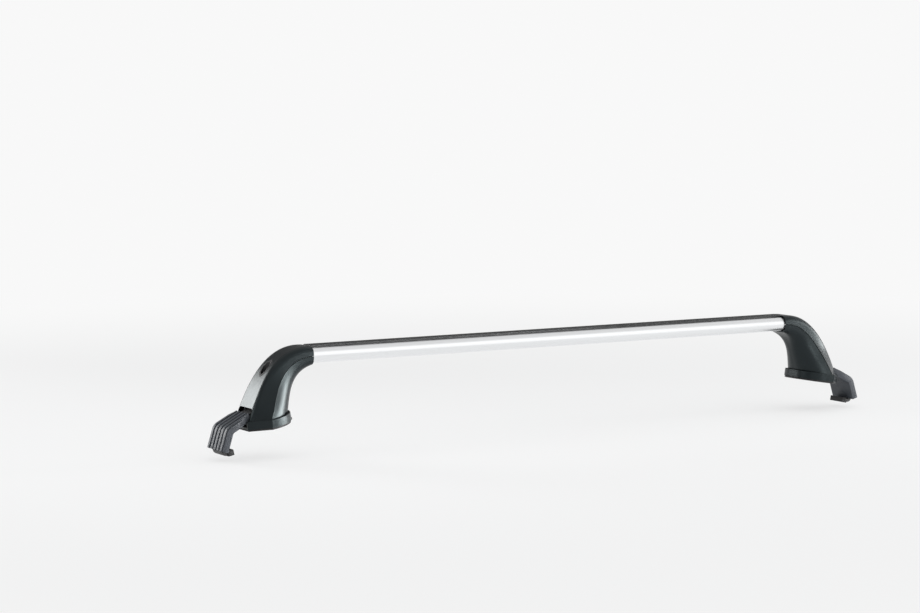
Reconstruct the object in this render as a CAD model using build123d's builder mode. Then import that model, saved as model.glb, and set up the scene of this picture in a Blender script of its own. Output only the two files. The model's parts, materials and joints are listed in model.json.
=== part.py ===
from build123d import *
import os
from math import cos, hypot, radians, sin, tan

# Roof rack crossbar: an aluminium bar carried by two clamping feet.
# X runs along the bar, Y across it and Z up. The origin is at mid-span, level with the
# middle of the two roof pads. All sizes are in millimetres, all angles in degrees.

# Bar, an extrusion with a slot along its top
visible_span = 902.0  # bar that shows between the two feet
bar_underside = 91.5  # above the roof pads
bar_width = 48.0
bar_height = 23.0
bar_nose_radius = 11.0
bar_wall = 2.2
slot_mouth = 11.0
slot_lip = 2.5
channel_width = 22.0
channel_depth = 8.5
channel_wall = 2.0
bar_tuck = 9.0  # how far the top of the bar reaches into a foot
bar_end_angle = 51.0  # the bar's ends are cut this far from upright

# Rubber strip in the slot
strip_width = 19.0
strip_stand = 4.2  # above the bar
strip_edge_radius = 1.2
strip_stem_gap = 0.3
strip_barb = 2.6  # overhang under each slot lip
strip_barb_height = 1.8
strip_grooves = 4
strip_groove_pitch = 3.6
strip_groove_width = 1.2
strip_groove_depth = 0.7

# Moulded shells of a foot, split along a seam that curves down from the bar to the base
shell_wall = 2.2
bar_fit = 0.5  # room between the bar and the shells
seam_gap = 0.8
seam_step = 0.8  # the lower shell stands back from the cover's edge
seam_run = 48.0  # level pull of the seam at the bar
seam_reach = 83.0  # from the foot's mouth to the seam's lower end
seam_foot = 14.5  # height of the seam's lower end
seam_lean = 20.3  # of the seam's lower end, from upright
seam_pull = 49.0
flare_top = 82.5  # below this height the foot widens
flare = 0.335  # half-width gained for each millimetre down
cover_depth = 23.8  # from the seam to the cover's outer face at the base
cover_roundness = 0.5
cover_flat_mouth = 25.5  # half-width of the cover's outer face, before its corners are rounded
cover_flat_base = 24.0
cover_corner_mouth = 11.0
cover_corner_base = 9.5
inner_depth = 42.0  # from the seam to the back of the lower shell at the base
inner_roundness = 0.3
inner_flat_mouth = 0.93  # share of the half-width at the lower shell's back
inner_flat_base = 0.92
inner_corner_mouth = 9.5
inner_corner_base = 42.0
base_overrun = 26.0  # shells are made this much longer, then cut level with the base

# Base: a collar round the shells and a rubber pad under it, tilted outwards
roof_tilt = 9.0
pad_back = 9.0  # from the seam's lower end in to the pad's middle
pad_thickness = 3.0
pad_inset = 1.2
pad_lip = 3.0
pad_lip_width = 30.0
collar_height = 12.5
collar_margin = 2.7  # the collar stands out from the shells
collar_floor = 3.0
collar_ledge = 4.4  # that the shells stand on
collar_rebate = 2.0
collar_fit = 0.8  # room round the shells
collar_edge = 1.0
collar_seam_corner = 9.0

# Steel bracket inside a foot
bracket_thickness = 3.0
bracket_gap = 34.0  # between its two cheeks
flange_start = 15.0  # from the foot's mouth, as the next two
flange_end = 37.0
cheek_start = 24.0
cheek_waist_back = 41.0  # in from the seam's lower end, as the next one
cheek_foot_back = 31.0
cheek_foot_front = 14.0  # out from the seam's lower end
shelf_height = 59.5
shelf_thickness = 4.0
shelf_length = 18.0
flange_width = 13.0
flange_length = 36.0

# Fasteners
bar_screw_radius = 3.0
bar_screw_place = 23.0  # from the foot's mouth
bar_screw_spacing = 15.0
bar_screw_flats = 10.0
bar_screw_head = 4.0
bar_screw_end = 1.0  # past the nut plate
nut_plate_thickness = 5.0
nut_plate_width = 25.0
nut_plate_length = 24.0
nut_plate_edge = 5.0  # past the screws
base_screw_radius = 2.5
base_screw_head_radius = 4.6
base_screw_head = 1.6
base_screw_pitch = 28.0
thread_gap = 0.05
hole_gap = 0.3

# Tension bolt, its barrel nut and the hook that they pull up
bolt_back = 14.0  # in from the seam's lower end
bolt_radius = 4.0
bolt_head_radius = 6.5
bolt_head_height = 8.0
bolt_end = 13.5  # height of its lower end
bolt_socket_flats = 6.0
bolt_socket_depth = 4.5
washer_radius = 8.0
washer_thickness = 1.6
key_bore_radius = 8.0
key_guide_wall = 2.0
guide_gap = 1.0  # over the bolt's head
barrel_height = 36.2
barrel_radius = 8.0
barrel_end_gap = 0.5
running_gap = 0.05
hook_width = 30.0
hook_thickness = 5.0
hook_eye_wall = 4.5
hook_fork = 15.0
hook_slope = 28.0  # of the arm, down from level
hook_arm = 82.0
hook_drop_angle = 73.0
hook_drop = 40.0
hook_lip = 20.0
hook_lip_angle = 12.0
hook_bend_radius = 10.0
hook_lip_radius = 6.0

# Plastic sleeve on the hook, and the rubber on its lip
sleeve_start = 42.4  # along the arm from the barrel nut
sleeve_end = 33.0  # along the drop
sleeve_width = 42.0  # at the foot
sleeve_neck = 6.0  # length of that width, measured level, as the next one
sleeve_flare_run = 14.0
sleeve_flare_width = 56.0  # at the bend and on the drop
sleeve_wall = 2.2
sleeve_gap = 0.1
rib_count = 5
rib_width = 6.0
rib_height = 1.6
lip_rubber_wall = 1.8
lip_rubber_length = 8.0

# Opening at the foot's outer face for the hook's arm
claw_slot_width = 46.0
claw_slot_top = 28.5
claw_slot_radius = 5.0

# Places worked out from the sizes above
mouth_x = visible_span / 2
pad_centre = seam_reach - pad_back
bolt_place = seam_reach - bolt_back
bar_top = bar_underside + bar_height
bar_middle = bar_underside + bar_height / 2
lean = radians(seam_lean)
tilt = radians(roof_tilt)
mouth_half_width = bar_width / 2 + bar_fit + shell_wall
mouth_depth = bar_height / 2 + bar_fit + shell_wall
side_plane = Plane(origin=(mouth_x, 0, 0), x_dir=(1, 0, 0), z_dir=(0, -1, 0))
roof_plane = Plane(
    origin=(mouth_x + pad_centre, 0, 0),
    x_dir=(cos(tilt), 0, -sin(tilt)),
    z_dir=(sin(tilt), 0, cos(tilt)),
)
collar_bottom = pad_thickness
collar_top = collar_bottom + collar_height
floor_top = collar_bottom + collar_floor
ledge_height = collar_top - collar_rebate
bolt_x = mouth_x + bolt_place
bolt_seat = shelf_height + washer_thickness
barrel_length = hook_width - 2 * barrel_end_gap
roof_axis = Axis(roof_plane.origin, roof_plane.z_dir)


def ease(share, roundness):
    """Share of a growth that is fast at first and slower towards the end."""
    return (1 + roundness) * share - roundness * share**2


def blend(start, end, share):
    """Value between two ends."""
    return start + (end - start) * share


# Seam line in the foot's middle plane
with BuildLine(side_plane) as seam_curve:
    Bezier(
        (0, bar_middle),
        (seam_run, bar_middle),
        (seam_reach - seam_pull * sin(lean), seam_foot + seam_pull * cos(lean)),
        (seam_reach, seam_foot),
    )
seam = seam_curve.line.edge()
stations = [0, 0.1, 0.25, 0.5, 0.75, 1]


def seam_frame(share, overrun=0.0):
    """Plane square to the seam, with its own Y pointing to the cover's outer face."""
    along = seam % share
    return Plane(origin=(seam @ share) + along * overrun, x_dir=(0, 1, 0), z_dir=along)


def half_width(height):
    """Half the foot's width at a height."""
    return mouth_half_width + flare * max(0, flare_top - height)


def hood(plane, half, flat, depth, corner, wall):
    """Slice of a shell on a plane: a tapered hood, open towards the seam, or solid with no wall."""
    toward = depth / abs(depth)
    foot = toward * seam_gap / 2
    shift = wall * hypot(half - flat, depth) / abs(depth)
    inner_half = half - shift
    inner_flat = flat + (half - flat) * wall / abs(depth) - shift
    inner_top = depth - toward * wall
    with BuildSketch(plane) as section:
        with BuildLine():
            FilletPolyline(
                (-half, foot), (-flat, depth), (flat, depth), (half, foot), radius=corner
            )
            if wall:
                Line((half, foot), (inner_half, foot))
                FilletPolyline(
                    (inner_half, foot),
                    (inner_flat, inner_top),
                    (-inner_flat, inner_top),
                    (-inner_half, foot),
                    radius=corner - wall,
                )
                Line((-inner_half, foot), (-half, foot))
            else:
                Line((half, foot), (-half, foot))
        make_face()
    return section.sketch


def cover_depth_at(share):
    """Depth of the cover from the seam to its outer face."""
    return blend(mouth_depth, cover_depth, ease(share, cover_roundness))


def inner_depth_at(share):
    """Depth of the lower shell from the seam to its back."""
    return blend(mouth_depth, inner_depth, ease(share, inner_roundness))


def cover_slice(share, overrun, wall, inset=0.0):
    """Slice of the outer cover, or of a solid set in from its outside."""
    plane = seam_frame(share, overrun)
    return hood(
        plane,
        half_width(plane.origin.Z) - inset,
        blend(cover_flat_mouth, cover_flat_base, share) - inset,
        cover_depth_at(share) - inset,
        blend(cover_corner_mouth, cover_corner_base, share) - inset,
        wall,
    )


def inner_slice(share, overrun):
    """Slice of the lower shell, which stands back a little from the cover's edge."""
    plane = seam_frame(share, overrun)
    half = half_width(plane.origin.Z) - seam_step * share
    return hood(
        plane,
        half,
        half * blend(inner_flat_mouth, inner_flat_base, share),
        -inner_depth_at(share),
        blend(inner_corner_mouth, inner_corner_base, share),
        shell_wall,
    )


def roof_reach(upper, lower):
    """Where a line down the foot meets the level that the shells stand on, from the pad's centre."""
    high = roof_plane.to_local_coords(upper)
    low = roof_plane.to_local_coords(lower)
    return blend(high.X, low.X, (high.Z - ledge_height) / (high.Z - low.Z))


end_frame = seam_frame(1)
low_frame = seam_frame(1, base_overrun)
back_frame = seam_frame(stations[-2])
base_seam = roof_reach(end_frame.origin - end_frame.z_dir, low_frame.origin)
base_out = roof_reach(
    end_frame.from_local_coords((0, cover_depth, 0)),
    low_frame.from_local_coords((0, cover_depth, 0)),
)
base_in = roof_reach(
    back_frame.from_local_coords((0, -inner_depth_at(stations[-2]), 0)),
    end_frame.from_local_coords((0, -inner_depth, 0)),
)
base_half = half_width(roof_plane.from_local_coords((base_seam, 0, ledge_height)).Z)


def base_outline(height, margin):
    """Outline of the foot at its base, at a height over the pad's plane and grown by a margin."""
    inner_flat = base_half * inner_flat_base
    with BuildSketch(roof_plane.offset(height)) as outline:
        with BuildLine():
            Polyline(
                (base_seam, base_half),
                (base_out, cover_flat_base),
                (base_out, -cover_flat_base),
                (base_seam, -base_half),
                (base_in, -inner_flat),
                (base_in, inner_flat),
                close=True,
            )
        make_face()
        offset(amount=margin, kind=Kind.INTERSECTION)
        inner_corners, seam_corners, outer_corners = outline.vertices().group_by(Axis.X)
        fillet(inner_corners, inner_corner_base + margin)
        fillet(seam_corners, collar_seam_corner + margin)
        fillet(outer_corners, cover_corner_base + margin)
    return outline.sketch


# Bar profile
def bar_end_plane(side):
    """Plane of the sloping cut at one end of the bar."""
    angle = radians(bar_end_angle)
    return Plane(
        origin=(side * (mouth_x + bar_tuck), 0, bar_top),
        x_dir=(0, 1, 0),
        z_dir=(side * cos(angle), 0, sin(angle)),
    )


bar_reach = bar_tuck + bar_height * tan(radians(bar_end_angle))
channel_floor = bar_top - slot_lip - channel_depth
block_base = channel_floor - channel_wall
with BuildPart() as bar_profile:
    with BuildSketch(Plane.YZ.offset(-mouth_x - bar_reach)) as bar_section:
        with Locations((0, bar_middle)):
            RectangleRounded(bar_width, bar_height, bar_nose_radius)
            RectangleRounded(
                bar_width - 2 * bar_wall,
                bar_height - 2 * bar_wall,
                bar_nose_radius - bar_wall,
                mode=Mode.SUBTRACT,
            )
        with Locations((0, block_base)):
            Rectangle(
                channel_width + 2 * channel_wall,
                bar_top - bar_wall / 2 - block_base,
                align=(Align.CENTER, Align.MIN),
            )
        with Locations((0, channel_floor)):
            Rectangle(
                channel_width,
                channel_depth,
                align=(Align.CENTER, Align.MIN),
                mode=Mode.SUBTRACT,
            )
        with Locations((0, bar_top)):
            Rectangle(slot_mouth, 3 * slot_lip, mode=Mode.SUBTRACT)
    extrude(amount=2 * (mouth_x + bar_reach))
    split(bisect_by=bar_end_plane(1), keep=Keep.BOTTOM)
    split(bisect_by=bar_end_plane(-1), keep=Keep.BOTTOM)
    with Locations((0, 0, bar_underside)):
        with GridLocations(2 * (mouth_x + bar_screw_place), bar_screw_spacing, 2, 2):
            Cylinder(bar_screw_radius + hole_gap, 3 * bar_wall, mode=Mode.SUBTRACT)

# Rubber strip, held by its barbs under the slot's lips
strip_stem = slot_mouth / 2 - strip_stem_gap
lip_base = bar_top - slot_lip
with BuildPart() as slot_strip:
    with BuildSketch(Plane.YZ.offset(-mouth_x)) as strip_section:
        with Locations((0, bar_top)):
            Rectangle(strip_width, strip_stand, align=(Align.CENTER, Align.MIN))
        fillet(strip_section.vertices().group_by(Axis.Y)[-1], strip_edge_radius)
        with Locations((0, bar_top + strip_stand)):
            with GridLocations(strip_groove_pitch, 0, strip_grooves, 1):
                Rectangle(strip_groove_width, 2 * strip_groove_depth, mode=Mode.SUBTRACT)
        with Locations((0, bar_top)):
            Rectangle(2 * strip_stem, slot_lip + strip_barb_height, align=(Align.CENTER, Align.MAX))
        with BuildLine():
            Polyline(
                (strip_stem, lip_base - strip_stem_gap),
                (strip_stem + strip_barb, lip_base - strip_stem_gap),
                (strip_stem, lip_base - strip_barb_height),
                (-strip_stem, lip_base - strip_barb_height),
                (-strip_stem - strip_barb, lip_base - strip_stem_gap),
                (-strip_stem, lip_base - strip_stem_gap),
                close=True,
            )
        make_face()
    extrude(amount=visible_span)

# Outer cover of a foot, with the key's guide tube and the opening for the hook's arm
slices = [(share, 0.0) for share in stations] + [(1, base_overrun)]
with BuildPart() as key_guide:
    with Locations((bolt_x, 0, bolt_seat + bolt_head_height + guide_gap)):
        Cylinder(
            key_bore_radius + key_guide_wall,
            bar_top,
            align=(Align.CENTER, Align.CENTER, Align.MIN),
        )
    loft(
        [cover_slice(share, overrun, 0, shell_wall / 2) for share, overrun in slices],
        mode=Mode.INTERSECT,
    )

with BuildPart() as outer_cover:
    loft([cover_slice(share, overrun, shell_wall) for share, overrun in slices])
    add(key_guide.part)
    split(bisect_by=roof_plane.offset(ledge_height), keep=Keep.TOP)
    with Locations((bolt_x, 0, bar_middle)):
        Cylinder(key_bore_radius, bar_top, mode=Mode.SUBTRACT)
    with BuildSketch(Plane.YZ.offset(mouth_x + pad_centre + base_out / 2)) as claw_slot:
        with Locations((0, claw_slot_top)):
            Rectangle(claw_slot_width, 2 * claw_slot_top, align=(Align.CENTER, Align.MAX))
        fillet(claw_slot.vertices().group_by(Axis.Y)[-1], claw_slot_radius)
    extrude(amount=base_out, mode=Mode.SUBTRACT)

# Lower shell of a foot
with BuildPart() as inner_shell:
    loft([inner_slice(share, overrun) for share, overrun in slices])
    split(bisect_by=roof_plane.offset(ledge_height), keep=Keep.TOP)

# Base collar: a tray with a rebated rim, notched where the hook's arm passes
base_screw_row = 2 * (bracket_gap / 2 + bracket_thickness + flange_width / 2)
with BuildPart() as base_collar:
    extrude(base_outline(collar_bottom, collar_margin), amount=collar_height)
    fillet(base_collar.faces().sort_by(roof_axis)[-1].edges(), collar_edge)
    extrude(base_outline(ledge_height, collar_fit), amount=2 * collar_rebate, mode=Mode.SUBTRACT)
    extrude(base_outline(floor_top, -collar_ledge), amount=collar_height, mode=Mode.SUBTRACT)
    with BuildSketch(roof_plane.offset(floor_top)) as arm_notch:
        with Locations((base_out, 0)):
            Rectangle(base_out, claw_slot_width)
    extrude(amount=collar_height, mode=Mode.SUBTRACT)
    with BuildSketch(roof_plane.offset(collar_bottom)) as screw_heads:
        with GridLocations(base_screw_pitch, base_screw_row, 2, 2):
            Circle(base_screw_head_radius + hole_gap)
    extrude(amount=base_screw_head + hole_gap, mode=Mode.SUBTRACT)
    with BuildSketch(roof_plane.offset(collar_bottom)) as screw_holes:
        with GridLocations(base_screw_pitch, base_screw_row, 2, 2):
            Circle(base_screw_radius + hole_gap)
    extrude(amount=collar_floor, mode=Mode.SUBTRACT)

# Rubber pad with a lip at its inner end
with BuildPart() as roof_pad:
    extrude(base_outline(0, collar_margin - pad_inset), amount=pad_thickness)
    with BuildSketch(roof_plane) as lip:
        with Locations((base_in - collar_margin, 0)):
            RectangleRounded(2 * pad_lip, pad_lip_width, pad_lip / 2)
    extrude(amount=pad_thickness)

# Steel bracket: two cheeks, a flange under the bar, a shelf for the bolt and two base flanges
cheek_outer = bracket_gap / 2 + bracket_thickness
shelf_end = bolt_place + shelf_length / 2
cheek_waist = seam_reach - cheek_waist_back
cheek_foot_in = seam_reach - cheek_foot_back
cheek_foot_out = seam_reach + cheek_foot_front
with BuildPart() as support_bracket:
    with BuildSketch(side_plane) as cheek:
        with BuildLine():
            Polyline(
                (cheek_start, bar_underside),
                (flange_end, bar_underside),
                (bolt_place - washer_radius, shelf_height + washer_radius),
                (shelf_end, shelf_height),
                (cheek_foot_out, claw_slot_top),
                (cheek_foot_out, -collar_top),
                (cheek_foot_in, -collar_top),
                (cheek_foot_in, claw_slot_top),
                (cheek_waist, shelf_height),
                close=True,
            )
        make_face()
    extrude(amount=cheek_outer, both=True)
    with BuildSketch(side_plane) as channel:
        Rectangle(2 * visible_span, 4 * bar_top)
    extrude(amount=bracket_gap / 2, both=True, mode=Mode.SUBTRACT)
    split(bisect_by=roof_plane.offset(floor_top), keep=Keep.TOP)
    with Locations((mouth_x + flange_start, 0, bar_underside)):
        Box(
            flange_end - flange_start,
            2 * cheek_outer,
            bracket_thickness,
            align=(Align.MIN, Align.CENTER, Align.MAX),
        )
    with Locations((bolt_x, 0, shelf_height)):
        Box(
            shelf_length,
            bracket_gap,
            shelf_thickness,
            align=(Align.CENTER, Align.CENTER, Align.MAX),
        )
    with BuildSketch(roof_plane.offset(floor_top)) as flanges:
        with GridLocations(0, base_screw_row - bracket_thickness, 1, 2):
            Rectangle(flange_length, flange_width + bracket_thickness)
    extrude(amount=bracket_thickness)
    with BuildSketch(roof_plane.offset(floor_top)) as flange_holes:
        with GridLocations(base_screw_pitch, base_screw_row, 2, 2):
            Circle(base_screw_radius + thread_gap)
    extrude(amount=bracket_thickness, mode=Mode.SUBTRACT)
    with Locations((bolt_x, 0, shelf_height)):
        Cylinder(bolt_radius + hole_gap, 3 * shelf_thickness, mode=Mode.SUBTRACT)
    with Locations((mouth_x + bar_screw_place, 0, bar_underside)):
        with GridLocations(0, bar_screw_spacing, 1, 2):
            Cylinder(bar_screw_radius + hole_gap, 3 * bracket_thickness, mode=Mode.SUBTRACT)

# Nut plate inside the bar, and the screws that draw the bracket up to it
plate_base = bar_underside + bar_wall
with BuildPart() as nut_plate:
    with Locations((mouth_x + bar_screw_place + nut_plate_edge, 0, plate_base)):
        Box(
            nut_plate_length,
            nut_plate_width,
            nut_plate_thickness,
            align=(Align.MAX, Align.CENTER, Align.MIN),
        )
    with Locations((mouth_x + bar_screw_place, 0, plate_base)):
        with GridLocations(0, bar_screw_spacing, 1, 2):
            Cylinder(bar_screw_radius + thread_gap, 3 * nut_plate_thickness, mode=Mode.SUBTRACT)

bar_screw_seat = bar_underside - bracket_thickness
bar_screw_length = bracket_thickness + bar_wall + nut_plate_thickness + bar_screw_end
with BuildPart() as bar_screws:
    with BuildSketch(Plane.XY.offset(bar_screw_seat)) as screw_hexes:
        with Locations((mouth_x + bar_screw_place, 0)):
            with GridLocations(0, bar_screw_spacing, 1, 2):
                RegularPolygon(bar_screw_flats / 2, 6, major_radius=False)
    extrude(amount=-bar_screw_head)
    with BuildSketch(Plane.XY.offset(bar_screw_seat)) as screw_shanks:
        with Locations((mouth_x + bar_screw_place, 0)):
            with GridLocations(0, bar_screw_spacing, 1, 2):
                Circle(bar_screw_radius)
    extrude(amount=bar_screw_length)

# Screws up through the collar's floor into the bracket
with BuildPart() as base_screws:
    with BuildSketch(roof_plane.offset(collar_bottom)) as base_heads:
        with GridLocations(base_screw_pitch, base_screw_row, 2, 2):
            Circle(base_screw_head_radius)
    extrude(amount=base_screw_head)
    with BuildSketch(roof_plane.offset(collar_bottom)) as base_shanks:
        with GridLocations(base_screw_pitch, base_screw_row, 2, 2):
            Circle(base_screw_radius)
    extrude(amount=collar_floor + bracket_thickness)

# Tension bolt with a hexagon socket, and its washer
with BuildPart() as tension_bolt:
    with Locations((bolt_x, 0, bolt_seat)):
        Cylinder(
            bolt_head_radius, bolt_head_height, align=(Align.CENTER, Align.CENTER, Align.MIN)
        )
        Cylinder(
            bolt_radius, bolt_seat - bolt_end, align=(Align.CENTER, Align.CENTER, Align.MAX)
        )
    with BuildSketch(Plane.XY.offset(bolt_seat + bolt_head_height)) as socket:
        with Locations((bolt_x, 0)):
            RegularPolygon(bolt_socket_flats / 2, 6, major_radius=False)
    extrude(amount=-bolt_socket_depth, mode=Mode.SUBTRACT)

with BuildPart() as bolt_washer:
    with Locations((bolt_x, 0, shelf_height)):
        Cylinder(
            washer_radius, washer_thickness, align=(Align.CENTER, Align.CENTER, Align.MIN)
        )
        Cylinder(bolt_radius + hole_gap, 3 * washer_thickness, mode=Mode.SUBTRACT)

# Barrel nut that the hook hangs on
with BuildPart() as barrel_nut:
    with BuildSketch(side_plane) as barrel:
        with Locations((bolt_place, barrel_height)):
            Circle(barrel_radius)
    extrude(amount=barrel_length / 2, both=True)
    with Locations((bolt_x, 0, barrel_height)):
        Cylinder(bolt_radius + running_gap, 3 * barrel_radius, mode=Mode.SUBTRACT)

# Hook: a steel strap from the barrel nut, out past the collar and down to a lip
arm_way = Vector(cos(radians(hook_slope)), -sin(radians(hook_slope)))
drop_way = Vector(cos(radians(hook_drop_angle)), -sin(radians(hook_drop_angle)))
lip_way = Vector(-cos(radians(hook_lip_angle)), sin(radians(hook_lip_angle)))
arm_out = Vector(-arm_way.Y, arm_way.X)
drop_out = Vector(-drop_way.Y, drop_way.X)
eye_point = Vector(bolt_place, barrel_height)
bend_point = eye_point + arm_way * hook_arm
heel_point = bend_point + drop_way * hook_drop
tip_point = heel_point + lip_way * hook_lip
eye_radius = barrel_radius + hook_eye_wall


def strap(width, thickness):
    """Bent strap along the hook's middle line."""
    with BuildPart() as bent:
        with BuildSketch(side_plane) as outline:
            with BuildLine() as middle:
                FilletPolyline(
                    eye_point,
                    bend_point,
                    heel_point,
                    tip_point,
                    radius=[hook_bend_radius, hook_lip_radius],
                )
            trace(middle.line, line_width=thickness)
        extrude(amount=width / 2, both=True)
    return bent.part


with BuildPart() as claw:
    add(strap(hook_width, hook_thickness))
    with BuildSketch(side_plane) as eye:
        with Locations(eye_point):
            Circle(eye_radius)
    extrude(amount=hook_width / 2, both=True)
    with BuildSketch(side_plane) as eye_hole:
        with Locations(eye_point):
            Circle(barrel_radius + running_gap)
    extrude(amount=hook_width, both=True, mode=Mode.SUBTRACT)
    with Locations((bolt_x, 0, barrel_height)):
        Box(2 * eye_radius + hook_thickness, hook_fork, 4 * eye_radius, mode=Mode.SUBTRACT)

# Ribbed plastic sleeve on the hook's arm and drop
sleeve_thickness = hook_thickness + 2 * (sleeve_gap + sleeve_wall)
sleeve_points = [
    eye_point + arm_way * sleeve_start,
    bend_point,
    bend_point + drop_way * sleeve_end,
]
rib_middle = (sleeve_thickness + rib_height - sleeve_wall) / 2
rib_points = [
    sleeve_points[0] + arm_out * rib_middle,
    bend_point + (arm_out + drop_out) * (rib_middle / (1 + arm_out.dot(drop_out))),
    sleeve_points[2] + drop_out * rib_middle,
]
rib_pitch = (sleeve_flare_width - rib_width) / (rib_count - 0.5)
neck_start = mouth_x + sleeve_points[0].X
neck_end = neck_start + sleeve_neck
flare_end = neck_end + sleeve_flare_run
with BuildPart() as claw_sleeve:
    with BuildSketch(side_plane) as sleeve_outline:
        with BuildLine() as sleeve_line:
            FilletPolyline(*sleeve_points, radius=hook_bend_radius)
        trace(sleeve_line.line, line_width=sleeve_thickness)
    extrude(amount=sleeve_flare_width / 2, both=True)
    for rib in range(rib_count):
        with BuildSketch(side_plane.offset((rib - (rib_count - 1) / 2) * rib_pitch)) as ridge:
            with BuildLine() as rib_line:
                FilletPolyline(*rib_points, radius=hook_bend_radius + rib_middle)
            trace(rib_line.line, line_width=rib_height + sleeve_wall)
        extrude(amount=rib_width / 2, both=True)
    with BuildSketch() as sleeve_plan:
        with BuildLine():
            Polyline(
                (neck_start - sleeve_thickness, -sleeve_width / 2),
                (neck_end, -sleeve_width / 2),
                (flare_end, -sleeve_flare_width / 2),
                (flare_end + hook_arm, -sleeve_flare_width / 2),
                (flare_end + hook_arm, sleeve_flare_width / 2),
                (flare_end, sleeve_flare_width / 2),
                (neck_end, sleeve_width / 2),
                (neck_start - sleeve_thickness, sleeve_width / 2),
                close=True,
            )
        make_face()
    extrude(amount=bar_top, both=True, mode=Mode.INTERSECT)
    add(strap(hook_width + 2 * sleeve_gap, hook_thickness + 2 * sleeve_gap), mode=Mode.SUBTRACT)

# Rubber cap on the hook's lip
with BuildPart() as lip_rubber:
    with BuildSketch(side_plane) as cap_outline:
        with BuildLine() as cap_line:
            Line(tip_point - lip_way * lip_rubber_length, tip_point + lip_way * lip_rubber_wall)
        trace(cap_line.line, line_width=hook_thickness + 2 * lip_rubber_wall)
    extrude(amount=hook_width / 2 + lip_rubber_wall, both=True)
    add(strap(hook_width, hook_thickness), mode=Mode.SUBTRACT)

# The two feet are the same assembly, turned half round for the left side
foot_pieces = {
    "outer_cover": outer_cover,
    "inner_shell": inner_shell,
    "base_collar": base_collar,
    "roof_pad": roof_pad,
    "support_bracket": support_bracket,
    "nut_plate": nut_plate,
    "bar_screws": bar_screws,
    "base_screws": base_screws,
    "tension_bolt": tension_bolt,
    "bolt_washer": bolt_washer,
    "barrel_nut": barrel_nut,
    "claw": claw,
    "claw_sleeve": claw_sleeve,
    "lip_rubber": lip_rubber,
}

os.makedirs("parts", exist_ok=True)
bar_profile.part.label = "bar_profile"
export_step(bar_profile.part, "parts/bar_profile.step")
slot_strip.part.label = "slot_strip"
export_step(slot_strip.part, "parts/slot_strip.step")
for side, turn in (("right", 0), ("left", 180)):
    for name, piece in foot_pieces.items():
        with BuildPart() as placed:
            add(piece.part, rotation=(0, 0, turn))
        placed.part.label = f"{side}_{name}"
        export_step(placed.part, f"parts/{side}_{name}.step")
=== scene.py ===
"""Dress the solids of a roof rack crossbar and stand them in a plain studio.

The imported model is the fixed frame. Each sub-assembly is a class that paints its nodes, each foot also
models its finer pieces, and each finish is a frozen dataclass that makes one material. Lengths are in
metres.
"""

import json
import logging
import math
from collections.abc import Iterator
from contextlib import contextmanager
from dataclasses import dataclass, field
from enum import Enum

import bpy
from mathutils import Matrix, Vector


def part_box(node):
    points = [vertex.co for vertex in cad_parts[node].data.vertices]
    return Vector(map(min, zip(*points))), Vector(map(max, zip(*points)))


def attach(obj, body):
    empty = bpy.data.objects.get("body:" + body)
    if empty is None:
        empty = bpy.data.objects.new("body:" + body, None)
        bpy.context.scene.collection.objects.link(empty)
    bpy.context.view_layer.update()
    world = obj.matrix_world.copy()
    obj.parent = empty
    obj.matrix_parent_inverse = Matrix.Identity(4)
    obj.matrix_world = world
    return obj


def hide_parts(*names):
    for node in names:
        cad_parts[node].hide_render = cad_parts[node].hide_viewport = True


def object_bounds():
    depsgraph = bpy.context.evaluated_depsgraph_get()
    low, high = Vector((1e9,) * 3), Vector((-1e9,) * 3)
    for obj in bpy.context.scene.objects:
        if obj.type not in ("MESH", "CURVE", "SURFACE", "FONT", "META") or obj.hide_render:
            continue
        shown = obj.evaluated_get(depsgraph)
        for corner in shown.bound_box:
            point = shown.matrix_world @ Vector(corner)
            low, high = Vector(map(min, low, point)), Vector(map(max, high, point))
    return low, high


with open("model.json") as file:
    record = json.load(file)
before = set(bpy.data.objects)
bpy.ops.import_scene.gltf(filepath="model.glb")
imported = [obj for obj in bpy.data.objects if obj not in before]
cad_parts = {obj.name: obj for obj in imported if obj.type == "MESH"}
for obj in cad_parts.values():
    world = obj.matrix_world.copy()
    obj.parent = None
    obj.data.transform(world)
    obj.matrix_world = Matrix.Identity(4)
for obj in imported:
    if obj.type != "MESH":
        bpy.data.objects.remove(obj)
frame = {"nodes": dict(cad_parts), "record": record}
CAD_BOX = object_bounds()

LOG = logging.getLogger("crossbar")
FIXED_BODY = "crossbar"

MILLIMETRE = 0.001
MICROMETRE = 0.001 * MILLIMETRE
MERGE_REACH = 1 * MICROMETRE
CUT_REACH = 10 * MICROMETRE
FLAT_ANGLE = math.radians(1)
SHARP_ANGLE = math.radians(35)
ROUND_STEPS = 3
OPAQUE = 1.0

# A Mix node names its sockets alike for every data type, so the colour ones are found by their place
MIX_COLOUR_A = 6
MIX_COLOUR_B = 7
MIX_COLOUR_RESULT = 2

Colour = tuple[float, float, float]
Triple = tuple[float, float, float]
Piece = bpy.types.Object
Socket = bpy.types.NodeSocket


class Side(Enum):
    """The two ends of the bar."""

    LEFT = "left"
    RIGHT = "right"

    @property
    def sign(self) -> float:
        """-1 at the left end, which lies along -X, and 1 at the right end."""
        return -1.0 if self is Side.LEFT else 1.0


class Flank(Enum):
    """The two flanks of a foot, by their sign along Y."""

    REAR = -1.0
    FRONT = 1.0


class Cut(Enum):
    """What a cutting tool leaves of a piece."""

    OUTSIDE = "DIFFERENCE"
    INSIDE = "INTERSECT"


class Slot(Enum):
    """The record's material slots."""

    ALUMINIUM = "anodised_aluminium"
    STRIP = "strip_rubber"
    SHELL = "moulded_plastic"
    COLLAR = "collar_plastic"
    PAD = "pad_rubber"
    ZINC = "zinc_steel"
    BOLT = "black_steel"
    CLAW = "coated_steel"
    SLEEVE = "sleeve_plastic"


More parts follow.
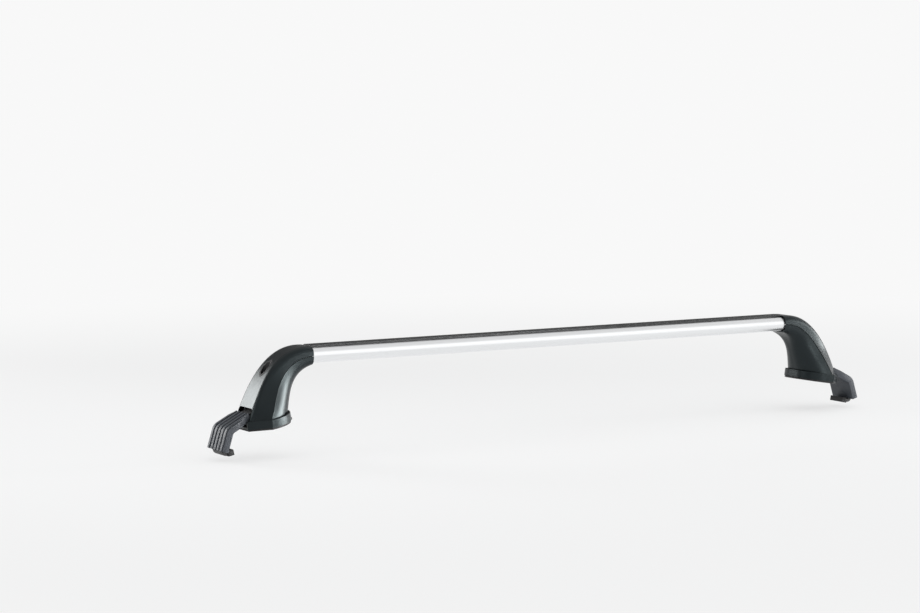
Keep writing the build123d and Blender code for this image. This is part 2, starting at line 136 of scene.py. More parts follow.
class Nodes:
    """A node tree, with short calls for the nodes that are used more than once."""

    def __init__(self, tree: bpy.types.NodeTree) -> None:
        """Take the tree that the nodes are added to."""
        self.tree = tree

    def add(self, kind: str, **settings: str) -> bpy.types.Node:
        """Add a node.

        Args:
            kind: The node's type, without the ShaderNode that it starts with.
            settings: The node's own properties.

        Returns:
            The new node.
        """
        node = self.tree.nodes.new(f"ShaderNode{kind}")
        for name, value in settings.items():
            setattr(node, name, value)
        return node

    def link(self, source: Socket, target: Socket) -> None:
        """Join two sockets."""
        self.tree.links.new(source, target)

    def combine(self, operation: str, first: Socket, second: Socket) -> Socket:
        """Work one number out of two.

        Args:
            operation: The Math node's operation.
            first: The first number.
            second: The second number.

        Returns:
            The result.
        """
        node = self.add("Math", operation=operation)
        self.link(first, node.inputs[0])
        self.link(second, node.inputs[1])
        return node.outputs["Value"]

    def between(self, value: Socket, low: float, high: float) -> Socket:
        """Map a 0 to 1 value to a range of numbers.

        Args:
            value: The value to map.
            low: The result at 0.
            high: The result at 1.

        Returns:
            The mapped value.
        """
        node = self.add("MapRange")
        node.inputs["To Min"].default_value = low
        node.inputs["To Max"].default_value = high
        self.link(value, node.inputs["Value"])
        return node.outputs["Result"]

    def fade(self, value: Socket, start: float, end: float, low: float = 0.0) -> Socket:
        """Rise softly to 1 as a value goes from one number to another.

        Args:
            value: The value to follow.
            start: Where the rise starts.
            end: Where the result is 1.
            low: The result before the start.

        Returns:
            The risen value.
        """
        node = self.add("MapRange", interpolation_type="SMOOTHSTEP")
        node.inputs["From Min"].default_value = start
        node.inputs["From Max"].default_value = end
        node.inputs["To Min"].default_value = low
        self.link(value, node.inputs["Value"])
        return node.outputs["Result"]

    def blend(self, share: Socket, first: Socket | float, second: float) -> Socket:
        """Blend from one number to another.

        Args:
            share: How much of the second number is taken, from 0 to 1.
            first: The first number, worked out by a node or constant.
            second: The second number.

        Returns:
            The blended number.
        """
        node = self.add("Mix")
        self.link(share, node.inputs["Factor"])
        if isinstance(first, float):
            node.inputs["A"].default_value = first
        else:
            self.link(first, node.inputs["A"])
        node.inputs["B"].default_value = second
        return node.outputs["Result"]

    def mix(self, share: Socket, first: Socket, second: Socket) -> Socket:
        """Mix two shaders.

        Args:
            share: How much of the second shader is taken, from 0 to 1.
            first: The first shader.
            second: The second shader.

        Returns:
            The mixed shader.
        """
        node = self.add("MixShader")
        self.link(share, node.inputs["Fac"])
        self.link(first, node.inputs[1])
        self.link(second, node.inputs[2])
        return node.outputs["Shader"]


class Graph(Nodes):
    """A material's node tree round one Principled shader, with patterns on Object coordinates."""

    def __init__(self, name: str) -> None:
        """Start a material.

        Args:
            name: The material's name.
        """
        self.material = bpy.data.materials.new(name)
        self.material.use_nodes = True
        super().__init__(self.material.node_tree)
        self.shader = self.tree.nodes["Principled BSDF"]
        self.place = self.add("TexCoord").outputs["Object"]

    def set(self, values: dict[str, float | Colour]) -> None:
        """Set constants on the shader's own sockets.

        Args:
            values: Each socket's name and its value.
        """
        for name, value in values.items():
            constant = (*value, OPAQUE) if isinstance(value, tuple) else value
            self.shader.inputs[name].default_value = constant

    def noise(self, size: float, stretch: Triple, detail: float) -> Socket:
        """Soft noise with marks of a real size.

        Args:
            size: The width of one mark, in metres.
            stretch: Factors on X, Y and Z, under 1 to draw the marks out.
            detail: How many finer layers are added.

        Returns:
            The noise value.
        """
        mapping = self.add("Mapping")
        mapping.inputs["Scale"].default_value = stretch
        self.link(self.place, mapping.inputs["Vector"])
        node = self.add("TexNoise")
        node.inputs["Scale"].default_value = 1 / size
        node.inputs["Detail"].default_value = detail
        self.link(mapping.outputs["Vector"], node.inputs["Vector"])
        return node.outputs["Fac"]

    def tint(self, value: Socket, low: Colour, high: Colour) -> Socket:
        """Map a 0 to 1 value to a blend of two colours.

        Args:
            value: The value to map.
            low: The colour at 0.
            high: The colour at 1.

        Returns:
            The blended colour.
        """
        node = self.add("Mix", data_type="RGBA")
        node.inputs[MIX_COLOUR_A].default_value = (*low, OPAQUE)
        node.inputs[MIX_COLOUR_B].default_value = (*high, OPAQUE)
        self.link(value, node.inputs["Factor"])
        return node.outputs[MIX_COLOUR_RESULT]

    def bump(self, height: Socket, depth: float) -> None:
        """Raise the surface by a pattern.

        Args:
            height: The pattern, from 0 to 1.
            depth: Its real depth, in metres.
        """
        node = self.add("Bump")
        node.inputs["Distance"].default_value = depth
        node.inputs["Strength"].default_value = 1.0
        self.link(height, node.inputs["Height"])
        self.link(node.outputs["Normal"], self.shader.inputs["Normal"])


@dataclass(frozen=True)
class Finish:
    """A surface finish with a little unevenness in colour, gloss and relief."""

    name: str
    colour: Colour
    roughness: float
    colour_spread: float = 0.08
    roughness_spread: float = 0.04
    patch_size: float = 30 * MILLIMETRE
    patch_detail: float = 2.0
    grain_size: float = 0.5 * MILLIMETRE
    grain_depth: float = 10 * MICROMETRE
    grain_detail: float = 3.0
    metallic: float = 0.0
    specular: float = 0.5
    reflection: Colour = (1.0, 1.0, 1.0)
    stretch: Triple = (1.0, 1.0, 1.0)

    def make(self) -> bpy.types.Material:
        """Build the material.

        Returns:
            The finished material.
        """
        graph = Graph(self.name)
        patches = graph.noise(self.patch_size, self.stretch, self.patch_detail)
        dark = tuple(part * (1 - self.colour_spread) for part in self.colour)
        light = tuple(part * (1 + self.colour_spread) for part in self.colour)
        graph.link(graph.tint(patches, dark, light), graph.shader.inputs["Base Color"])
        low = self.roughness - self.roughness_spread
        high = self.roughness + self.roughness_spread
        graph.link(graph.between(patches, low, high), graph.shader.inputs["Roughness"])
        graph.set({
            "Metallic": self.metallic,
            "Specular IOR Level": self.specular,
            "Specular Tint": self.reflection,
        })
        graph.bump(graph.noise(self.grain_size, self.stretch, self.grain_detail), self.grain_depth)
        return graph.material


CHARCOAL = (0.0045, 0.006, 0.0075)
COOL = (0.81, 0.97, 0.99)
SATIN_SHEEN = 0.32
DRAWN_ALONG_BAR = (0.004, 1.0, 1.0)

FINISHES: dict[Slot, Finish] = {
    Slot.ALUMINIUM: Finish(
        "satin_anodised_aluminium", (0.89, 0.9, 0.91), roughness=0.3, colour_spread=0.02, metallic=1.0,
        patch_size=2 * MILLIMETRE, grain_size=0.6 * MILLIMETRE, grain_depth=16 * MICROMETRE,
        stretch=DRAWN_ALONG_BAR,
    ),
    Slot.STRIP: Finish(
        "black_strip_rubber", (0.012, 0.013, 0.014), roughness=0.55,
        grain_size=0.8 * MILLIMETRE, grain_depth=100 * MICROMETRE,
    ),
    Slot.SHELL: Finish(
        "charcoal_moulded_plastic", CHARCOAL, roughness=0.33, specular=SATIN_SHEEN, reflection=COOL,
        grain_size=0.6 * MILLIMETRE, grain_depth=60 * MICROMETRE,
    ),
    Slot.COLLAR: Finish(
        "dark_collar_plastic", CHARCOAL, roughness=0.36, specular=SATIN_SHEEN, reflection=COOL,
        grain_size=0.6 * MILLIMETRE, grain_depth=60 * MICROMETRE,
    ),
    Slot.PAD: Finish(
        "black_pad_rubber", (0.012, 0.012, 0.013), roughness=0.65,
        grain_size=0.9 * MILLIMETRE, grain_depth=120 * MICROMETRE,
    ),
    Slot.ZINC: Finish(
        "zinc_plated_steel", (0.46, 0.47, 0.49), roughness=0.36, roughness_spread=0.08, metallic=1.0,
        patch_size=6 * MILLIMETRE,
    ),
    Slot.BOLT: Finish(
        "blackened_steel", (0.05, 0.05, 0.052), roughness=0.4, metallic=0.8, patch_size=5 * MILLIMETRE,
    ),
    Slot.CLAW: Finish(
        "powder_coated_steel", (0.018, 0.018, 0.019), roughness=0.5,
        grain_size=0.7 * MILLIMETRE, grain_depth=100 * MICROMETRE,
    ),
    Slot.SLEEVE: Finish(
        "slate_sleeve_plastic", (0.05, 0.056, 0.066), roughness=0.52, specular=0.4,
        grain_size=0.7 * MILLIMETRE, grain_depth=80 * MICROMETRE,
    ),
}


class Paint:
    """Keeps one material for each slot and puts it on pieces."""

    def __init__(self) -> None:
        """Make every finish once."""
        self.materials = {slot: finish.make() for slot, finish in FINISHES.items()}

    def put(self, piece: Piece, slot: Slot) -> None:
        """Give a piece the finish of a slot.

        Args:
            piece: The object to paint.
            slot: The slot whose finish it gets.
        """
        piece.data.materials.clear()
        piece.data.materials.append(self.materials[slot])
        LOG.info("%s: %s", piece.name, slot.value)


class Bench:
    """Modelling steps that the pieces share."""

    @staticmethod
    def pick(piece: Piece) -> None:
        """Select one piece alone and make it the active one.

        Args:
            piece: The piece to select.
        """
        bpy.ops.object.select_all(action="DESELECT")
        piece.select_set(True)
        bpy.context.view_layer.objects.active = piece

    @staticmethod
    @contextmanager
    def edit(piece: Piece) -> Iterator[None]:
        """Open a piece in edit mode for a while, with its whole mesh selected.

        Args:
            piece: The piece to edit.

        Returns:
            A context in which the piece is open.
        """
        Bench.pick(piece)
        bpy.ops.object.mode_set(mode="EDIT")
        bpy.ops.mesh.select_all(action="SELECT")
        yield
        bpy.ops.object.mode_set(mode="OBJECT")

    @staticmethod
    def copy_of(node: str, name: str) -> Piece:
        """Copy a solid's mesh into a new piece, with its flat faces made whole.

        Args:
            node: The solid's name.
            name: The new piece's name.

        Returns:
            The copy, selected alone.
        """
        piece = bpy.data.objects.new(name, frame["nodes"][node].data.copy())
        bpy.context.scene.collection.objects.link(piece)
        with Bench.edit(piece):
            bpy.ops.mesh.remove_doubles(threshold=MERGE_REACH)
            bpy.ops.mesh.dissolve_limited(angle_limit=FLAT_ANGLE)
        return piece

    @staticmethod
    def modify(piece: Piece, kind: str, **settings: object) -> None:
        """Add a modifier to a piece and apply it.

        Args:
            piece: The piece to change.
            kind: The modifier's type.
            settings: The modifier's properties.
        """
        Bench.pick(piece)
        modifier = piece.modifiers.new(kind.lower(), kind)
        for name, value in settings.items():
            setattr(modifier, name, value)
        bpy.ops.object.modifier_apply(modifier=modifier.name)

    @staticmethod
    def cut(piece: Piece, tool: Piece, keep: Cut) -> None:
        """Cut a piece with a tool, clean the cut and throw the tool away.

        Args:
            piece: The piece to cut.
            tool: The closed mesh to cut with.
            keep: What is left of the piece.
        """
        Bench.modify(piece, "BOOLEAN", operation=keep.value, object=tool, solver="EXACT")
        bpy.data.objects.remove(tool)
        with Bench.edit(piece):
            bpy.ops.mesh.remove_doubles(threshold=CUT_REACH)
            bpy.ops.mesh.dissolve_degenerate(threshold=CUT_REACH)
            bpy.ops.mesh.quads_convert_to_tris()

    @staticmethod
    def round_edges(piece: Piece, radius: float) -> None:
        """Round a piece's sharp edges and shade it smooth between them.

        Args:
            piece: The piece to round.
            radius: The width of the rounding, in metres.
        """
        Bench.modify(
            piece, "BEVEL", width=radius, segments=ROUND_STEPS, limit_method="ANGLE",
            angle_limit=SHARP_ANGLE,
        )
        Bench.smooth(piece)

    @staticmethod
    def smooth(piece: Piece) -> None:
        """Shade a piece smooth, apart from its sharp edges."""
        Bench.pick(piece)
        bpy.ops.object.shade_smooth_by_angle(angle=SHARP_ANGLE)

    @staticmethod
    def settle(piece: Piece) -> None:
        """Put a piece's place into its mesh, with its object at the origin."""
        Bench.pick(piece)
        bpy.ops.object.transform_apply(location=True, rotation=True, scale=True)


@dataclass(frozen=True)
class Seam:
    """The curve where a foot's two shells meet, and the thin black band behind it that paints shade into
    the gap.

    The curve leaves the foot's mouth level with the bar's middle, runs out for a stretch and leans down
    to the foot's base. The shells flare out on both flanks below flare_top, and the lower one stands back
    by a growing step. The black band is set back from their outer face, and paints shade into the seam.
    """

    mouth: float
    start_height: float
    mouth_half_width: float
    run: float = 48 * MILLIMETRE
    reach: float = 83 * MILLIMETRE
    foot: float = 14.5 * MILLIMETRE
    lean: float = math.radians(20.3)
    pull: float = 49 * MILLIMETRE
    flare_top: float = 82.5 * MILLIMETRE
    flare: float = 0.335
    step: float = 0.8 * MILLIMETRE
    band: float = 5.0 * MILLIMETRE
    thickness: float = 0.3 * MILLIMETRE
    setback: float = 2.55 * MILLIMETRE
    first_share: float = 0.01
    last_share: float = 1.03
    nudge: float = 0.005
    stretches: int = 48

    def point(self, share: float) -> Vector:
        """A point of the dark band's middle, out from the bar's middle and up.

        Args:
            share: How far along the seam, from 0 at the mouth to 1 at the base.

        Returns:
            The point, with its half-width as Y.
        """
        corners = (
            Vector((0, 0, self.start_height)),
            Vector((self.run, 0, self.start_height)),
            Vector((
                self.reach - self.pull * math.sin(self.lean), 0,
                self.foot + self.pull * math.cos(self.lean),
            )),
            Vector((self.reach, 0, self.foot)),
        )
        rest = 1 - share
        weights = (rest**3, 3 * rest**2 * share, 3 * rest * share**2, share**3)
        place = sum((corner * weight for corner, weight in zip(corners, weights)), Vector())
        spread = self.flare * max(0.0, self.flare_top - place.z)
        half = self.mouth_half_width + spread - self.step * share - self.setback
        return Vector((self.mouth + place.x, half, place.z))

    def across(self, share: float) -> Vector:
        """The direction square to the seam, along the shells' flank.

        Args:
            share: How far along the seam.

        Returns:
            A unit vector.
        """
        along = self.point(share + self.nudge) - self.point(share - self.nudge)
        return Vector((along.z, 0, -along.x)).normalized()

    def shade_band(self, name: str, side: Side, flank: Flank) -> Piece:
        """Model the thin black band behind the seam, which paints shade into the gap.

        Args:
            name: The piece's name.
            side: Which end of the bar it is at.
            flank: Which flank of the foot it is on.

        Returns:
            The band.
        """
        # A black band that paints shade into the seam between the shells
        bpy.ops.object.select_all(action="DESELECT")
        bpy.ops.mesh.primitive_grid_add(x_subdivisions=self.stretches, y_subdivisions=1, size=1)
        piece = bpy.context.object
        piece.name = name
        for vertex in piece.data.vertices:
            share = self.first_share + (vertex.co.x + 0.5) * (self.last_share - self.first_share)
            place = self.point(share) + self.across(share) * vertex.co.y * self.band
            vertex.co = (side.sign * place.x, flank.value * place.y, place.z)
        Bench.modify(piece, "SOLIDIFY", thickness=self.thickness, offset=0)
        with Bench.edit(piece):
            bpy.ops.mesh.normals_make_consistent(inside=False)
        Bench.smooth(piece)
        return piece


@dataclass(frozen=True)
class Thread:
    """The rolled thread of a bolt: a ridge wound round a shank that is turned down to its core."""

    major: float = 4.0 * MILLIMETRE
    core: float = 3.4 * MILLIMETRE
    pitch: float = 1.25 * MILLIMETRE
    turns: int = 32
    crest_share: float = 0.18
    root_share: float = 0.94
    tip: float = 1.0 * MILLIMETRE
    neck: float = 0.5 * MILLIMETRE
    sink: float = 0.1 * MILLIMETRE
    steps: int = 20
    ridge_corners: int = 4

    def cut(self, node: str, name: str) -> Piece:
        """Copy a plain bolt and give its shank a thread.

        Args:
            node: The plain bolt's name.
            name: The new piece's name.

        Returns:
            The threaded bolt.
        """
        low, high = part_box(node)
        axis = (low + high) / 2
        start = low.z + self.tip
        top = start + (self.turns + 1) * self.pitch
        piece = Bench.copy_of(node, name)
        with Bench.edit(piece):
            for level in (top, top - self.neck):
                bpy.ops.mesh.select_all(action="SELECT")
                bpy.ops.mesh.bisect(plane_co=(axis.x, axis.y, level), plane_no=(0, 0, 1))
            bpy.ops.mesh.select_all(action="DESELECT")
        for vertex in piece.data.vertices:
            vertex.select = vertex.co.z < top - self.neck / 2
        bpy.ops.object.mode_set(mode="EDIT")
        share = self.core / self.major
        bpy.ops.transform.resize(value=(share, share, 1), center_override=(axis.x, axis.y, start))
        bpy.ops.object.mode_set(mode="OBJECT")
        ridge = self.ridge(axis, start)
        Bench.pick(piece)
        ridge.select_set(True)
        bpy.ops.object.join()
        Bench.smooth(piece)
        return piece

    def ridge(self, axis: Vector, start: float) -> Piece:
        """Wind the thread's ridge round the core.

        Args:
            axis: A point on the bolt's axis.
            start: The height of the thread's first turn.

        Returns:
            The ridge, as a closed mesh.
        """
        bpy.ops.object.select_all(action="DESELECT")
        bpy.ops.mesh.primitive_plane_add(size=1, location=(axis.x, axis.y, start))
        ridge = bpy.context.object
        for vertex in ridge.data.vertices:
            outer = vertex.co.x > 0
            radius = self.major if outer else self.core - self.sink
            width = self.pitch * (self.crest_share if outer else self.root_share)
            vertex.co = (radius, 0, math.copysign(width / 2, vertex.co.y))
        Bench.modify(
            ridge, "SCREW", axis="Z", screw_offset=self.pitch, iterations=self.turns,
            steps=self.steps, render_steps=self.steps,
        )
        with Bench.edit(ridge):
            bpy.ops.mesh.fill_holes(sides=self.ridge_corners)
            bpy.ops.mesh.normals_make_consistent(inside=False)
        Bench.settle(ridge)
        return ridge


@dataclass(frozen=True)
class Tread:
    """The round-ended grooves in the underside of a rubber pad."""

    count: int = 7
    pitch: float = 6.0 * MILLIMETRE
    width: float = 2.0 * MILLIMETRE
    depth: float = 1.0 * MILLIMETRE
    length: float = 56.0 * MILLIMETRE
    edge: float = 0.5 * MILLIMETRE
    round_steps: int = 4

    def cut(self, node: str, name: str, centre: Vector, tilt: float) -> Piece:
        """Copy a plain pad, round its edges and cut the grooves.

        Args:
            node: The plain pad's name.
            name: The new piece's name.
            centre: The middle of the pad's underside.
            tilt: The slope of the underside, in radians, about Y.

        Returns:
            The grooved pad.
        """
        piece = Bench.copy_of(node, name)
        Bench.round_edges(piece, self.edge)
        bpy.ops.object.select_all(action="DESELECT")
        bpy.ops.mesh.primitive_cube_add(size=1, location=centre, rotation=(0, tilt, 0))
        cutter = bpy.context.object
        cutter.scale = (self.width, self.length, 2 * self.depth)
        bpy.ops.object.transform_apply(location=False, rotation=False, scale=True)
        Bench.modify(
            cutter, "BEVEL", width=self.width / 2, segments=self.round_steps, limit_method="ANGLE"
        )
        Bench.modify(
            cutter, "ARRAY", count=self.count, use_relative_offset=False, use_constant_offset=True,
            constant_offset_displace=(self.pitch, 0, 0),
        )
        cutter.data.transform(Matrix.Translation((-self.pitch * (self.count - 1) / 2, 0, 0)))
        Bench.settle(cutter)
        Bench.cut(piece, cutter, Cut.OUTSIDE)
        Bench.smooth(piece)
        return piece


@dataclass
class Bar:
    """The extruded bar with the strip in its slot."""

    nodes: dict[str, Slot] = field(
        default_factory=lambda: {"bar_profile": Slot.ALUMINIUM, "slot_strip": Slot.STRIP}
    )

    def dress(self, paint: Paint) -> None:
        """Paint the bar's nodes."""
        for name, slot in self.nodes.items():
            paint.put(frame["nodes"][name], slot)


@dataclass
class Foot:
    """One moulded foot with its clamp."""

    side: Side
    nodes: dict[str, Slot] = field(
        default_factory=lambda: {
            "outer_cover": Slot.SHELL,
            "inner_shell": Slot.SHELL,
            "base_collar": Slot.COLLAR,
            "roof_pad": Slot.PAD,
            "support_bracket": Slot.ZINC,
            "nut_plate": Slot.ZINC,
            "bar_screws": Slot.ZINC,
            "base_screws": Slot.ZINC,
            "tension_bolt": Slot.BOLT,
            "bolt_washer": Slot.ZINC,
            "barrel_nut": Slot.ZINC,
            "claw": Slot.CLAW,
            "claw_sleeve": Slot.SLEEVE,
            "lip_rubber": Slot.PAD,
        }
    )
    shell_stand: float = 2.7 * MILLIMETRE
    sleeve_edge: float = 0.6 * MILLIMETRE
    rubber_edge: float = 0.5 * MILLIMETRE
    # Size of the black lining that paints shade into the key hole
    shade_lining_reach: float = 10.4 * MILLIMETRE
    shade_lining_stand: float = 0.25 * MILLIMETRE
    shade_lining_edge: float = 0.15 * MILLIMETRE
    shade_lining_steps: int = 64
    thread: Thread = Thread()
    tread: Tread = Tread()

    def node(self, name: str) -> str:
        """The full name of a node, a body or a piece on this foot."""
        return f"{self.side.value}_{name}"

    def mount(self, name: str) -> dict:
        """One of this foot's mounts in the record."""
        return next(m for m in frame["record"]["mounts"] if m["name"] == self.node(name))

    @staticmethod
    def fit(piece: Piece, body: str, slot: Slot, paint: Paint) -> None:
        """Let a new piece move with a body and give it a finish.

        Args:
            piece: The new piece.
            body: The body that it moves with.
            slot: The slot that it takes its finish from.
            paint: The finishes.
        """
        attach(piece, body)
        paint.put(piece, slot)

    def stand_in(self, piece: Piece, body: str, name: str, paint: Paint) -> None:
        """Show a modelled piece in the place of a plain node.

        Args:
            piece: The modelled piece.
            body: The body that it moves with.
            name: The node's name without its side.
            paint: The finishes.
        """
        self.fit(piece, body, self.nodes[name], paint)
        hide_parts(self.node(name))

    def add_seam_shade(self, paint: Paint) -> None:
        """Close the gap between the two shells from inside with a black band, on both flanks, which
        paints shade into the seam.

        Args:
            paint: The finishes.
        """
        low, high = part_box("bar_profile")
        seam = Seam(
            mouth=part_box("slot_strip")[1].x,
            start_height=(low.z + high.z) / 2,
            mouth_half_width=high.y + self.shell_stand,
        )
        for flank in Flank:
            name = self.node(f"{flank.name.lower()}_seam_seal")
            # Black band behind the seam: painted shade in the gap between the shells
            self.fit(seam.shade_band(name, self.side, flank), FIXED_BODY, Slot.PAD, paint)

    def add_key_hole_shade(self, paint: Paint) -> None:
        """Line the key hole with matte black rubber whose rim lies on the cover, which paints shade into
        the hole and round its mouth.

        The lining is the part of the cover round the hole, swollen a little on all sides.

        Args:
            paint: The finishes.
        """
        low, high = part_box(self.node("tension_bolt"))
        axis = (low + high) / 2
        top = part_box(self.node("outer_cover"))[1].z
        # Matte black rubber in and round the key hole: painted shade in the hole
        piece = Bench.copy_of(self.node("outer_cover"), self.node("key_hole_bush"))
        bpy.ops.object.select_all(action="DESELECT")
        bpy.ops.mesh.primitive_cylinder_add(
            vertices=self.shade_lining_steps, radius=self.shade_lining_reach, depth=2 * (top - high.z),
            location=(axis.x, axis.y, top),
        )
        core = bpy.context.object
        Bench.settle(core)
        Bench.cut(piece, core, Cut.INSIDE)
        Bench.modify(piece, "DISPLACE", strength=self.shade_lining_stand, mid_level=0)
        Bench.round_edges(piece, self.shade_lining_edge)
        self.fit(piece, FIXED_BODY, Slot.PAD, paint)

    def add_hook_cover(self, paint: Paint) -> None:
        """Model the hook's sleeve and the rubber on its lip with rounded edges.

        Args:
            paint: The finishes.
        """
        edges = {"claw_sleeve": self.sleeve_edge, "lip_rubber": self.rubber_edge}
        for name, radius in edges.items():
            piece = Bench.copy_of(self.node(name), self.node(f"rounded_{name}"))
            Bench.round_edges(piece, radius)
            self.stand_in(piece, self.node("hook"), name, paint)

    def add_bolt(self, paint: Paint) -> None:
        """Model the tension bolt with its thread."""
        piece = self.thread.cut(self.node("tension_bolt"), self.node("threaded_bolt"))
        self.stand_in(piece, self.node("bolt"), "tension_bolt", paint)

    def add_pad(self, paint: Paint) -> None:
        """Model the rubber pad with grooves cut square into its sloping underside.

        Args:
            paint: The finishes.
        """
        mount = self.mount("roof_pad")
        down = Vector(mount["axis"])
        tilt = math.atan2(-down.x, -down.z)
        centre = Vector(mount["pos_m"])
        piece = self.tread.cut(self.node("roof_pad"), self.node("grooved_pad"), centre, tilt)
        self.stand_in(piece, FIXED_BODY, "roof_pad", paint)

    def build(self, paint: Paint) -> None:
        """Paint the foot's nodes and add its modelled pieces.

        Args:
            paint: The finishes.
        """
        for name, slot in self.nodes.items():
            paint.put(frame["nodes"][self.node(name)], slot)
        self.add_seam_shade(paint)
        self.add_key_hole_shade(paint)
        self.add_hook_cover(paint)
        self.add_bolt(paint)
        self.add_pad(paint)


@dataclass(frozen=True)
class Lamp:
    """A rectangular soft lamp, with a grid where its spread, in degrees, is narrowed.

    Its radiance is in shares of the white surroundings, and it spares the objects that it names.
    """

    name: str
    place: Triple
    aim: Triple
    width: float
    height: float
    radiance: float
    spread: float = 180.0
    spares: tuple[str, ...] = ()

    def add(self) -> None:
        """Hang the lamp, point it at its aim and keep it off the objects that it spares."""
        half = math.radians(self.spread) / 2
        # The share of an open lamp's light that a grid lets through
        beam = 1 - half / math.tan(half)
        data = bpy.data.lights.new(self.name, "AREA")
        data.shape = "RECTANGLE"
        data.size = self.width
        data.size_y = self.height
        data.spread = 2 * half
        data.energy = math.pi * self.width * self.height * self.radiance * beam
        lamp = bpy.data.objects.new(self.name, data)
        way = Vector(self.aim) - Vector(self.place)
        turn = way.to_track_quat("-Z", "Y").to_matrix().to_4x4()
        lamp.matrix_world = Matrix.Translation(self.place) @ turn
        lamp.visible_camera = False
        bpy.context.scene.collection.objects.link(lamp)
        if self.spares:
            lamp.light_linking.receiver_collection = self.spared()

    def spared(self) -> bpy.types.Collection:
        """Gather the objects that the lamp doesn't light.

        Returns:
            A collection in which each of them is left out of the light.
        """
        group = bpy.data.collections.new(f"{self.name}_spares")
        for name in self.spares:
            group.objects.link(bpy.data.objects[name])
        for linked in group.collection_objects:
            linked.light_linking.link_state = "EXCLUDE"
        return group


LAMPS = (
    Lamp(
        "back_left_softbox", place=(-1.45, 1.75, 0.46), aim=(-0.6, 0.0, 0.05),
        width=1.3, height=0.9, radiance=15.5, spread=42.0,
    ),
    Lamp(
        "left_softbox", place=(-2.6, 0.25, 0.75), aim=(-0.6, 0.0, 0.05),
        width=1.2, height=0.7, radiance=4.5, spread=50.0,
    ),
    Lamp(
        "right_softbox", place=(2.4, -0.9, 0.3), aim=(0.0, 0.0, 0.06),
        width=1.6, height=0.7, radiance=6.5, spares=("bar_profile",),
    ),
    Lamp(
        "low_right_softbox", place=(2.4, -0.6, 0.25), aim=(-0.52, -0.085, 0.06),
        width=1.2, height=0.6, radiance=23.0, spread=28.0, spares=("bar_profile",),
    ),
    Lamp(
        "low_fill", place=(0.05, -0.36, 0.03), aim=(-0.49, -0.03, 0.07),
        width=0.55, height=0.2, radiance=24.0, spread=60.0, spares=("floor", "bar_profile"),
    ),
    Lamp(
        "near_softbox", place=(0.5, -1.15, 0.22), aim=(0.52, 0.0, 0.07),
        width=0.25, height=0.35, radiance=8.0, spread=50.0, spares=("bar_profile",),
    ),
    Lamp(
        "front_right_softbox", place=(1.7, -2.6, 0.7), aim=(0.0, 0.0, 0.1),
        width=1.6, height=1.4, radiance=1.2, spares=("bar_profile",),
    ),
)


@dataclass(frozen=True)
class Patch:
    """A soft round patch of the surroundings with a light level of its own.

    The core and the rim are cosines of angles from the patch's middle.
    """

    way: Triple
    core: float
    rim: float
    level: float

    def share(self, nodes: Nodes, way: Socket) -> Socket:
        """How much of the patch is seen in a direction.

        Args:
            nodes: The tree to add nodes to.
            way: The direction.

        Returns:
            A value from 0 outside the rim to 1 in the core.
        """
        dot = nodes.add("VectorMath", operation="DOT_PRODUCT")
        nodes.link(way, dot.inputs[0])
        dot.inputs[1].default_value = Vector(self.way).normalized()
        return nodes.fade(dot.outputs["Value"], self.rim, self.core)


PATCHES = (
    Patch(way=(-0.3, -0.92, 0.27), core=0.8, rim=0.45, level=0.9),
    Patch(way=(0.12, 0.86, 0.5), core=0.92, rim=0.72, level=0.2),
    Patch(way=(-0.9, 0.35, 0.12), core=0.8, rim=0.5, level=0.25),
    Patch(way=(0.2, -0.1, 1.0), core=0.9, rim=0.45, level=0.76),
    Patch(way=(0.52, -0.82, 0.12), core=0.96, rim=0.8, level=1.22),
)


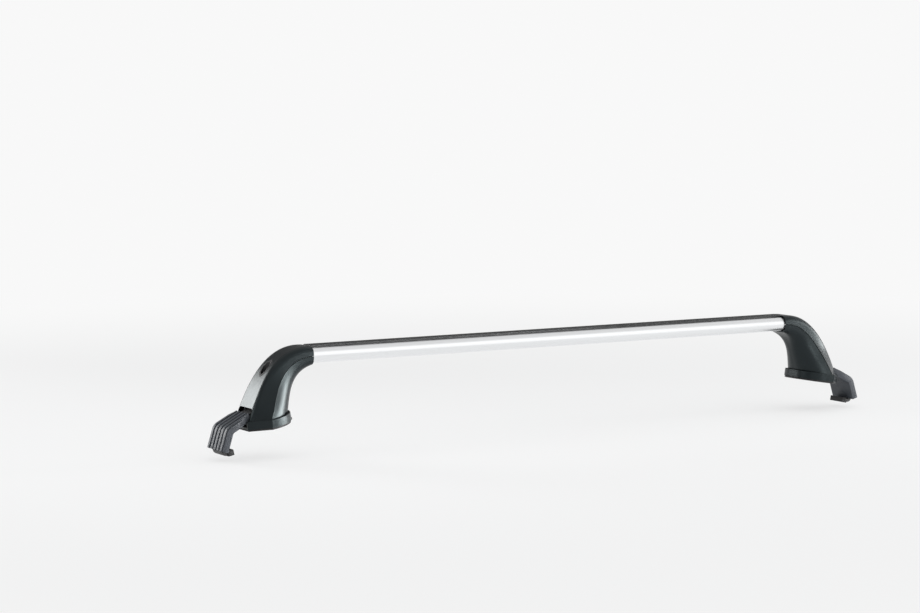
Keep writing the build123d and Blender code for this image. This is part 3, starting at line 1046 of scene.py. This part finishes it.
@dataclass
class Studio:
    """The camera, the pale floor, the surroundings and the lamps.

    The camera's angles are in degrees, and its lens and sensor in millimetres.
    """

    camera_place: Triple = (-2.1956, -3.4694, 0.5356)
    azimuth: float = -30.192
    elevation: float = 5.297
    roll: float = -0.229
    lens: float = 99.23
    sensor: float = 36.0
    floor_size: float = 60.0
    hook_travel: float = 8 * MILLIMETRE
    floor_colour: Colour = (0.93, 0.94, 0.945)
    floor_roughness: float = 0.9
    shade_reach: float = 0.7
    fade_reach: float = 2.6
    floor_glow_share: float = 0.65
    backdrop: float = 0.94
    surround: float = 1.0

    def add_camera(self) -> None:
        """Stand the camera where the picture was taken."""
        data = bpy.data.cameras.new("camera")
        data.lens = self.lens
        data.sensor_width = self.sensor
        data.clip_end = 2 * self.floor_size
        camera = bpy.data.objects.new("camera", data)
        turn = Matrix.Rotation(math.radians(self.azimuth), 4, "Z")
        nod = Matrix.Rotation(math.radians(90 - self.elevation), 4, "X")
        roll = Matrix.Rotation(math.radians(self.roll), 4, "Z")
        camera.matrix_world = Matrix.Translation(self.camera_place) @ turn @ nod @ roll
        bpy.context.scene.collection.objects.link(camera)
        bpy.context.scene.camera = camera

    def add_floor(self) -> None:
        """Lay a pale floor just under the hooks' lowest place."""
        bpy.ops.object.select_all(action="DESELECT")
        level = CAD_BOX[0][2] - self.hook_travel
        bpy.ops.mesh.primitive_plane_add(size=self.floor_size, location=(0, 0, level))
        floor = bpy.context.object
        floor.name = "floor"
        floor.data.materials.append(self.floor_material())

    def floor_material(self) -> bpy.types.Material:
        """A matt floor that fades to the white of the surroundings, and is clear from below.

        Returns:
            The floor's material.
        """
        graph = Graph("pale_floor")
        graph.set({
            "Base Color": self.floor_colour,
            "Roughness": self.floor_roughness,
            "Specular IOR Level": 0.0,
        })
        path = graph.add("LightPath")
        seen = graph.combine("MAXIMUM", path.outputs["Is Camera Ray"], path.outputs["Is Glossy Ray"])
        reach = graph.add("VectorMath", operation="LENGTH")
        graph.link(graph.place, reach.inputs[0])
        share = graph.fade(
            reach.outputs["Value"], self.shade_reach, self.fade_reach, self.floor_glow_share
        )
        glow = graph.add("Emission")
        glow.inputs["Strength"].default_value = self.backdrop
        glowing = graph.combine("MULTIPLY", share, seen)
        lit = graph.mix(glowing, graph.shader.outputs["BSDF"], glow.outputs["Emission"])
        below = graph.add("NewGeometry").outputs["Backfacing"]
        clear = graph.add("BsdfTransparent").outputs["BSDF"]
        surface = graph.tree.nodes["Material Output"].inputs["Surface"]
        graph.link(graph.mix(below, lit, clear), surface)
        return graph.material

    def add_world(self) -> None:
        """Surround the object with soft light, lighter and darker in patches and white to the camera."""
        world = bpy.data.worlds.new("studio")
        world.use_nodes = True
        nodes = Nodes(world.node_tree)
        way = nodes.add("TexCoord").outputs["Generated"]
        level: Socket | float = self.surround
        for patch in PATCHES:
            level = nodes.blend(patch.share(nodes, way), level, patch.level)
        path = nodes.add("LightPath")
        background = world.node_tree.nodes["Background"]
        background.inputs["Color"].default_value = (1.0, 1.0, 1.0, OPAQUE)
        strength = nodes.blend(path.outputs["Is Camera Ray"], level, self.backdrop)
        nodes.link(strength, background.inputs["Strength"])
        bpy.context.scene.world = world

    def build(self) -> None:
        """Set the whole studio up."""
        self.add_camera()
        self.add_floor()
        self.add_world()
        for lamp in LAMPS:
            lamp.add()
        bpy.context.scene.view_settings.view_transform = "Standard"


def main() -> None:
    """Build the studio, then dress the bar and both feet."""
    logging.basicConfig(level=logging.INFO, format="%(name)s %(message)s")
    Studio().build()
    paint = Paint()
    Bar().dress(paint)
    for side in Side:
        Foot(side).build(paint)


if __name__ == "__main__":
    main()
